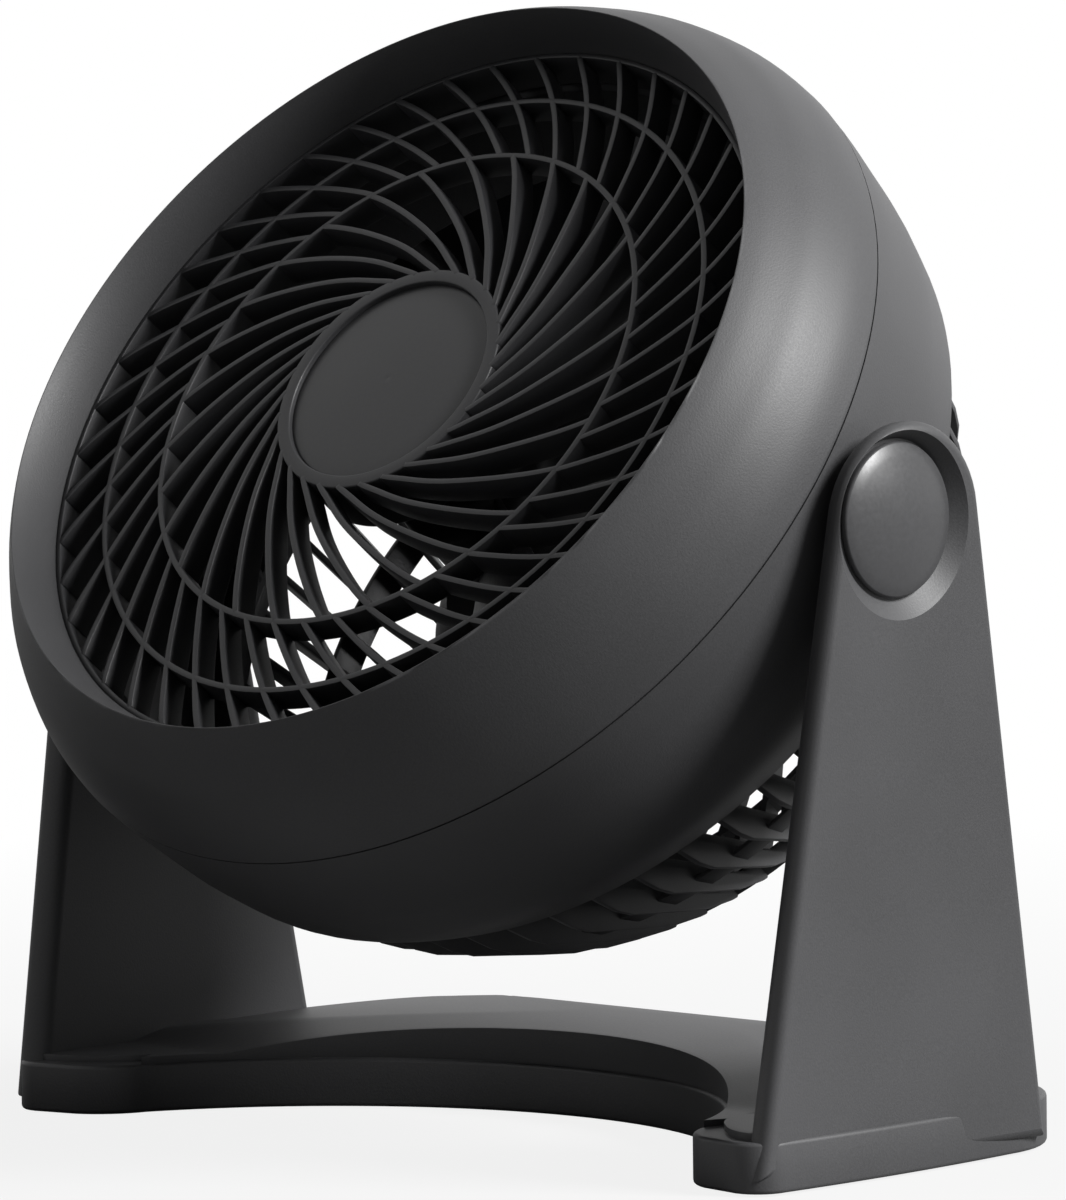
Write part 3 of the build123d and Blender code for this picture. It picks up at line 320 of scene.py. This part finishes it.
# ---------------------------------------------------------------------------
# Round caps over the tilt pivots.
# Smooth satin domes that cover the ends of the tilt bolts, one in the shallow
# dish at the top of each arm.
# ---------------------------------------------------------------------------
CAP_RADIUS = 0.01947
CAP_BACK = 0.1342       # distance of its flat back from the middle
CROWN_RINGS = 6
satin_plastic = plastic("satin_plastic", (0.030, 0.030, 0.031), (0.044, 0.044, 0.046),
                        0.36, 900, 0.10)
for side, node in ((1, "pivot_cap_right"), (-1, "pivot_cap_left")):
    bpy.ops.mesh.primitive_circle_add(vertices=96, radius=CAP_RADIUS, fill_type="NGON")
    cap = bpy.context.object
    cap.name = node.replace("pivot_", "crowned_")
    bpy.ops.object.mode_set(mode="EDIT")
    bpy.ops.mesh.extrude_region_move(TRANSFORM_OT_translate={"value": (0, 0, 0.0014)})
    bpy.ops.mesh.inset(thickness=0.0005)
    bpy.ops.transform.translate(value=(0, 0, 0.0004))
    # the rings of the crown get flatter towards the middle
    for step in range(CROWN_RINGS):
        bpy.ops.mesh.inset(thickness=0.003)
        bpy.ops.transform.translate(value=(0, 0, 0.00105 - 0.00018 * step))
    bpy.ops.mesh.select_all(action="SELECT")
    bpy.ops.mesh.normals_make_consistent(inside=False)
    bpy.ops.object.mode_set(mode="OBJECT")
    soften(cap, 0.45, 3, 30)
    outwards = Matrix(((0, 0, side, CAP_BACK * side), (side, 0, 0, 0), (0, 1, 0, PIVOT_Z),
                       (0, 0, 0, 1)))
    settle(cap, satin_plastic, outwards, 60)
    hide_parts(node)
    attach(cap, "stand")

# ---------------------------------------------------------------------------
# Rubber feet, and the rubber inlet where the cord would enter.
# Soft black rubber, duller and a little rougher than the plastic.
# ---------------------------------------------------------------------------
rubber = plastic("rubber", (0.012, 0.012, 0.012), (0.024, 0.023, 0.022), 0.78, 700, 0.8, 60.0)
dress(rubber, "rubber_feet", "cord_inlet")

# ---------------------------------------------------------------------------
# Head shells.
# The front shell carries the rolled lip and the duct around the impeller, and
# the rear shell tapers to the fins. They meet at a fine seam.
# ---------------------------------------------------------------------------
TILT = radians(38.33)
HEAD = Matrix((
    (1, 0, 0, 0),
    (0, sin(TILT), -cos(TILT), 0),
    (0, cos(TILT), sin(TILT), PIVOT_Z),
    (0, 0, 0, 1),
))


def curved(points, steps):
    """Points of a smooth line through the given ones, ends included."""
    line = []
    for n in range(len(points) - 1):
        a = Vector(points[max(n - 1, 0)])
        b = Vector(points[n])
        c = Vector(points[n + 1])
        d = Vector(points[min(n + 2, len(points) - 1)])
        for k in range(steps):
            t = k / steps
            bend = (2 * b + (c - a) * t + (2 * a - 5 * b + 4 * c - d) * t ** 2
                    + (3 * b - a - 3 * c + d) * t ** 3)
            line.append(tuple(bend / 2))
    line.append(tuple(points[-1]))
    return line


def turned(name, profile, steps=180):
    """Closed profile of radius and depth in millimetres, spun round the head's axis."""
    bpy.ops.mesh.primitive_circle_add(vertices=len(profile), radius=0.01)
    piece = bpy.context.object
    piece.name = name
    for vertex, (radius, depth) in zip(piece.data.vertices, profile):
        vertex.co = (radius / 1000, 0, depth / 1000)
    bpy.ops.object.mode_set(mode="EDIT")
    bpy.ops.mesh.select_all(action="SELECT")
    bpy.ops.mesh.spin(steps=steps, angle=2 * pi, center=(0, 0, 0), axis=(0, 0, 1))
    bpy.ops.mesh.select_all(action="SELECT")
    bpy.ops.mesh.remove_doubles(threshold=0.000002)
    bpy.ops.mesh.normals_make_consistent(inside=False)
    bpy.ops.object.mode_set(mode="OBJECT")
    return piece


front_outer = curved([(128.1, 23.3), (127.4, 30), (125.9, 36), (122.7, 44), (119.0, 50),
                      (115.6, 55), (113.2, 58), (111.4, 60)], 4)
front_inner = [(110, 55.6), (107.2, 47), (107.2, 35), (104.6, 33), (104.6, 2), (106.6, 2),
               (106.6, 31.8), (109.2, 34), (109.2, 47), (111.4, 54.6), (117.1, 49),
               (120.7, 43), (123.8, 35.4), (125.2, 29.6), (125.9, 23.3)]
front_skin = turned("front_skin", front_outer + front_inner)
soften(front_skin, 0.55)
settle(front_skin, body_plastic, HEAD)
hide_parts("front_shell")
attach(front_skin, "head")

dress(body_plastic, "rear_shell", "rear_guard", "motor_cover")

# ---------------------------------------------------------------------------
# Rear fins.
# Fifty-four thin ribs run back from the rear shell to the rear guard. Each is
# flat and slants off the radius. A rim and a band tie them together.
# ---------------------------------------------------------------------------
FINS = 54
FIN_SLANT = radians(-20)
FIN_HINGE = 0.112       # radius about which a fin is slanted, in metres
FIN_PHASE = radians(1.6)


def ring_of(count):
    """Repeats the active piece round the head's axis."""
    bpy.ops.object.mode_set(mode="EDIT")
    bpy.ops.mesh.select_all(action="SELECT")
    bpy.ops.mesh.normals_make_consistent(inside=False)
    bpy.ops.mesh.spin(steps=count - 1, dupli=True, angle=2 * pi * (count - 1) / count,
                      center=(0, 0, 0), axis=(0, 0, 1))
    bpy.ops.object.mode_set(mode="OBJECT")


rib_line = [(105.0, -34.0), (108.0, -34.0), (108.0, -36.7), (111.6, -36.7), (109.1, -46.0),
            (106.1, -52.5), (100.0, -61.0), (93.6, -70.0), (86.9, -79.0), (79.2, -86.6),
            (77.5, -88.0), (76.6, -88.0), (76.6, -81.6), (82.0, -78.0), (86.4, -71.6),
            (88.2, -66.0), (91.4, -60.0), (95.8, -52.5), (99.4, -46.0), (103.0, -38.5)]
ribs = plate("rear_ribs", rib_line, -0.85, 0.85)
soften(ribs, 0.35, 2, 20)
ribs.data.transform(Matrix(((1, 0, 0, 0), (0, 0, 1, 0), (0, 1, 0, 0), (0, 0, 0, 1))))
ribs.data.transform(Matrix.Translation((FIN_HINGE, 0, 0)) @ Matrix.Rotation(FIN_SLANT, 4, "Z")
                    @ Matrix.Translation((-FIN_HINGE, 0, 0)))
ribs.data.transform(Matrix.Rotation(FIN_PHASE, 4, "Z"))
ring_of(FINS)
settle(ribs, body_plastic, HEAD)
ties = []
for label, profile in (
        ("rib_rim", [(104.6, -36.5), (108.4, -36.5), (108.4, -32.05), (104.6, -32.05)]),
        ("rib_band", [(97.5, -59.3), (99.0, -59.3), (95.5, -66.5), (94.0, -66.5)])):
    tie = turned(label, profile)
    soften(tie, 0.35, 2)
    settle(tie, body_plastic, HEAD)
    ties.append(tie)
join(ribs, *ties)
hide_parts("rear_grille")
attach(ribs, "head")

# ---------------------------------------------------------------------------
# Front grille.
# Two thin rings and a hub carry swept bands that stand on edge: thirty inside
# the first ring and forty-five outside it. The rim stands in the front shell.
# ---------------------------------------------------------------------------
GRILLE_FACE = curved([(31.0, 52.8), (34.2, 52.7), (52.0, 51.6), (72.3, 49.4), (91.4, 47.0),
                      (104.0, 46.6), (110.0, 45.6)], 6)
BAND_DEPTH = 8.0
BAND_THICK = 0.0017     # in metres
BAND_PHASE = 6          # degrees
AXIS = 0.02             # a profile that reaches the axis stops just short of it


def face_depth(radius):
    """Depth of the grille's front surface at a radius."""
    for (r0, d0), (r1, d1) in zip(GRILLE_FACE, GRILLE_FACE[1:]):
        if radius <= r1:
            return d0 + (d1 - d0) * (radius - r0) / (r1 - r0)
    return GRILLE_FACE[-1][1]


def vanes(name, path, count, steps):
    """A band on edge along a path of radius and angle, repeated round the axis."""
    line = curved(path, steps)
    bpy.ops.mesh.primitive_grid_add(x_subdivisions=len(line) - 1, y_subdivisions=1, size=1)
    piece = bpy.context.object
    piece.name = name
    for vertex in piece.data.vertices:
        radius, angle = line[round((vertex.co.x + 0.5) * (len(line) - 1))]
        turn = radians(angle + BAND_PHASE)
        depth = face_depth(radius) - (0 if vertex.co.y > 0 else BAND_DEPTH)
        vertex.co = (radius * cos(turn) / 1000, radius * sin(turn) / 1000, depth / 1000)
    thick = piece.modifiers.new("thickness", "SOLIDIFY")
    thick.thickness = BAND_THICK
    thick.offset = 0
    bpy.ops.object.modifier_apply(modifier=thick.name)
    soften(piece, 0.4, 2, 50)
    ring_of(count)
    return piece


grille_plastic = plastic("grille_plastic", (0.018, 0.018, 0.019), (0.030, 0.030, 0.032),
                         0.44, 1500, 0.3)
inner_vanes = vanes("inner_vanes", [(33.0, -45.0), (37.5, -34.5), (44.0, -24.6), (52.0, -15.2),
                                    (61.0, -7.4), (72.4, 0.4)], 30, 5)
settle(inner_vanes, grille_plastic, HEAD)
outer_vanes = vanes("outer_vanes", [(72.3, -0.1), (80.0, 5.0), (91.4, 11.5), (106.0, 19.2)],
                    45, 6)
settle(outer_vanes, grille_plastic, HEAD)
rings = []
for label, inside, outside, back in (("ring_inner", 71.5, 73.2, 41.4),
                                     ("ring_outer", 90.55, 92.25, 39.0),
                                     ("rim", 105.55, 107.1, 35.0)):
    ring = turned(label, [(inside, back), (outside, back), (outside, face_depth(outside)),
                          (inside, face_depth(inside))])
    soften(ring, 0.4, 2)
    settle(ring, grille_plastic, HEAD)
    rings.append(ring)
hub = turned("hub_ring", [(31.45, 35), (33.85, 35), (33.85, 52.7), (30.06, 52.8), (30.06, 48.5),
                          (AXIS, 48.5), (AXIS, 46.5), (31.45, 46.5)])
soften(hub, 0.5)
settle(hub, grille_plastic, HEAD)
join(inner_vanes, outer_vanes, *rings, hub)
inner_vanes.name = "grille_bands"
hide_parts("front_grille")
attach(inner_vanes, "head")

# ---------------------------------------------------------------------------
# Badge.
# A bare, slightly domed disc set into the hub, with a fine gap around it.
# ---------------------------------------------------------------------------
badge = turned("badge", [(AXIS, 48.5), (29.95, 48.5), (29.95, 51.2)] + curved(
    [(29.9, 51.3), (26, 51.7), (19, 52.1), (10, 52.45), (AXIS, 52.6)], 4))
soften(badge, 0.5)
settle(badge, satin_plastic, HEAD)
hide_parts("hub_badge")
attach(badge, "head")

# ---------------------------------------------------------------------------
# Impeller.
# Three smooth matt black blades on a hub, turning in the duct.
# ---------------------------------------------------------------------------
blade_plastic = plastic("blade_plastic", (0.010, 0.010, 0.011), (0.017, 0.017, 0.018),
                        0.42, 600, 0.1)
dress(blade_plastic, "impeller")

# ---------------------------------------------------------------------------
# Speed knob.
# A satin disc with a raised finger grip and a pale pointer line, on the back
# of the head. Plain numbers for off and three speeds are raised around it.
# ---------------------------------------------------------------------------
NUMBER_STEP = 45        # degrees between two numbers
NUMBER_RADIUS = 0.0212
NUMBER_HEIGHT = 0.006
NUMBER_DEPTH = -0.0901  # just behind the centre plate
dial = turned("dial", [(AXIS, -90.9), (15.2, -90.9), (16.0, -92.0), (16.0, -96.0),
                       (AXIS, -96.0)], 120)
soften(dial, 0.8)
settle(dial, satin_plastic, HEAD)
grip_line = (arc((3.5, -12), (0, -14.5), (-3.5, -12), 10)
             + arc((-3.5, 12), (0, 14.5), (3.5, 12), 10) + [(3.5, 12)])
grip = plate("speed_grip", grip_line, -107, -95.5)
soften(grip, 0.9, 4)
settle(grip, satin_plastic, HEAD)
pointer_paint = plastic("pointer_paint", (0.60, 0.60, 0.60), (0.74, 0.74, 0.74), 0.5, 1200, 0.2)
pointer = plate("pointer", [(-0.6, 8.0), (0.6, 8.0), (0.6, 13.4), (-0.6, 13.4)],
                -107.15, -106.8)
soften(pointer, 0.15, 2)
settle(pointer, pointer_paint, HEAD)
join(grip, dial, pointer)
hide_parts("speed_knob")
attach(grip, "knob")

for step, figure in enumerate("0123"):
    bpy.ops.object.text_add()
    number = bpy.context.object
    number.data.body = figure
    number.data.size = NUMBER_HEIGHT
    number.data.extrude = 0.00015
    number.data.align_x = "CENTER"
    number.data.align_y = "CENTER"
    bpy.ops.object.convert(target="MESH")
    number = bpy.context.object
    number.name = "number_" + figure
    turn = radians(NUMBER_STEP * step)
    spot = Matrix.Translation((NUMBER_RADIUS * sin(turn), NUMBER_RADIUS * cos(turn), NUMBER_DEPTH))
    backwards = Matrix.Diagonal((-1, 1, -1, 1))
    number.data.transform(HEAD @ spot @ backwards)
    number.data.materials.clear()
    number.data.materials.append(pointer_paint)
    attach(number, "head")
    bpy.ops.object.select_all(action="DESELECT")

# ---------------------------------------------------------------------------
# Switch, motor, bushes and fasteners.
# Grey plastic, plated steel, brass, steel laminations, enamelled copper and
# cast aluminium.
# ---------------------------------------------------------------------------
METAL_BUMP = 0.25
METAL_CLOUD = 40.0


def metal(name, dark, light, rough, grain):
    """Metal with a fine unevenness of tone and gloss."""
    made = plastic(name, dark, light, rough, grain, METAL_BUMP, METAL_CLOUD)
    made.node_tree.nodes["Principled BSDF"].inputs["Metallic"].default_value = 1
    return made


dress(plastic("switch_plastic", (0.08, 0.08, 0.085), (0.13, 0.13, 0.135), 0.5, 800, 0.3),
      "rotary_switch")
dress(metal("screw_steel", (0.42, 0.43, 0.45), (0.58, 0.59, 0.61), 0.32, 2600),
      "bottom_screws", "shell_screws", "rear_grille_screws", "cover_screws", "motor_screws",
      "pivot_bolts", "pivot_nuts", "spinner_nut")
dress(metal("brass", (0.55, 0.40, 0.18), (0.74, 0.58, 0.30), 0.34, 2200),
      "friction_washers", "pivot_sleeves", "motor_bushes")
dress(metal("copper", (0.45, 0.19, 0.09), (0.66, 0.32, 0.17), 0.4, 1400), "windings")
dress(metal("laminations", (0.14, 0.14, 0.145), (0.26, 0.26, 0.27), 0.5, 3000),
      "stator_core", "rotor_core")
dress(metal("cast_aluminium", (0.46, 0.47, 0.49), (0.66, 0.67, 0.69), 0.48, 900),
      "motor_bracket_front", "motor_bracket_rear")
dress(metal("shaft_steel", (0.48, 0.49, 0.51), (0.66, 0.67, 0.69), 0.22, 3200), "motor_shaft")

# ---------------------------------------------------------------------------
# Studio: pale floor, soft lights, white surroundings, camera.
# ---------------------------------------------------------------------------
FLOOR_TONE = 0.22
FADE_START = 0.16       # distances from the object, in metres
FADE_END = 0.75
CAMERA_ROLL = radians(-0.68)

bpy.ops.mesh.primitive_plane_add(size=8, location=(0, 0, 0))
floor = bpy.context.object
floor.name = "floor"
pale = bpy.data.materials.new("pale_floor")
pale.use_nodes = True
tree = pale.node_tree
surface = tree.nodes["Principled BSDF"]
surface.inputs["Base Color"].default_value = (FLOOR_TONE, FLOOR_TONE, FLOOR_TONE, 1)
surface.inputs["Roughness"].default_value = 0.9
glow = tree.nodes.new("ShaderNodeEmission")
glow.inputs["Strength"].default_value = 1
path = tree.nodes.new("ShaderNodeLightPath")
# the floor brightens to white away from the object
place = tree.nodes.new("ShaderNodeTexCoord")
reach = tree.nodes.new("ShaderNodeVectorMath")
reach.operation = "LENGTH"
fade = tree.nodes.new("ShaderNodeMapRange")
fade.inputs["From Min"].default_value = FADE_START
fade.inputs["From Max"].default_value = FADE_END
fade.inputs["To Min"].default_value = 0.86
fade.inputs["To Max"].default_value = 1.0
share = tree.nodes.new("ShaderNodeMath")
share.operation = "MULTIPLY"
mix = tree.nodes.new("ShaderNodeMixShader")
tree.links.new(place.outputs["Object"], reach.inputs[0])
tree.links.new(reach.outputs["Value"], fade.inputs["Value"])
tree.links.new(fade.outputs["Result"], share.inputs[1])
tree.links.new(path.outputs["Is Camera Ray"], share.inputs[0])
tree.links.new(share.outputs[0], mix.inputs["Fac"])
tree.links.new(surface.outputs["BSDF"], mix.inputs[1])
tree.links.new(glow.outputs["Emission"], mix.inputs[2])
tree.links.new(mix.outputs["Shader"], tree.nodes["Material Output"].inputs["Surface"])
floor.data.materials.append(pale)

# the surroundings look white to the camera and in reflections, but light the fan only a little
world = bpy.data.worlds.new("surroundings")
bpy.context.scene.world = world
world.use_nodes = True
tree = world.node_tree
around = tree.nodes["Background"]
path = tree.nodes.new("ShaderNodeLightPath")
level = tree.nodes.new("ShaderNodeMapRange")
level.inputs["To Min"].default_value = 0.03
level.inputs["To Max"].default_value = 1.0
glossy = tree.nodes.new("ShaderNodeMath")
glossy.operation = "MAXIMUM"
seen = tree.nodes.new("ShaderNodeMath")
seen.operation = "MAXIMUM"
tree.links.new(path.outputs["Is Glossy Ray"], glossy.inputs[0])
tree.links.new(path.outputs["Is Transmission Ray"], glossy.inputs[1])
tree.links.new(path.outputs["Is Camera Ray"], seen.inputs[0])
tree.links.new(glossy.outputs[0], seen.inputs[1])
tree.links.new(seen.outputs[0], level.inputs["Value"])
tree.links.new(level.outputs["Result"], around.inputs["Strength"])
around.inputs["Color"].default_value = (1, 1, 1, 1)


def softbox(name, place, target, size, watts):
    """Rectangular soft light aimed at a point."""
    light = bpy.data.lights.new(name, "AREA")
    light.shape = "RECTANGLE"
    light.size, light.size_y = size
    light.energy = watts
    lamp = bpy.data.objects.new(name, light)
    bpy.context.scene.collection.objects.link(lamp)
    lamp.location = place
    lamp.rotation_euler = (Vector(target) - Vector(place)).to_track_quat("-Z", "Y").to_euler()


softbox("key", (1.57, 0.6, 1.28), (0, 0, 0.18), (0.7, 0.7), 108)
softbox("front", (-0.9, -1.5, 0.9), (0, 0, 0.14), (0.7, 0.7), 1.5)

camera_data = bpy.data.cameras.new("camera")
camera = bpy.data.objects.new("camera", camera_data)
bpy.context.scene.collection.objects.link(camera)
camera.location = (1.9006, -1.9936, 0.3712)
look = Vector((0.01332, 0, 0.13692)) - camera.location
aim = look.to_track_quat("-Z", "Y").to_matrix() @ Matrix.Rotation(CAMERA_ROLL, 3, "Z")
camera.rotation_euler = aim.to_euler()
camera_data.sensor_width = 36
camera_data.lens = 322.9
camera_data.shift_x = -0.00608
camera_data.shift_y = 0.0054
camera_data.clip_end = 50
bpy.context.scene.camera = camera
bpy.context.scene.view_settings.view_transform = "Standard"
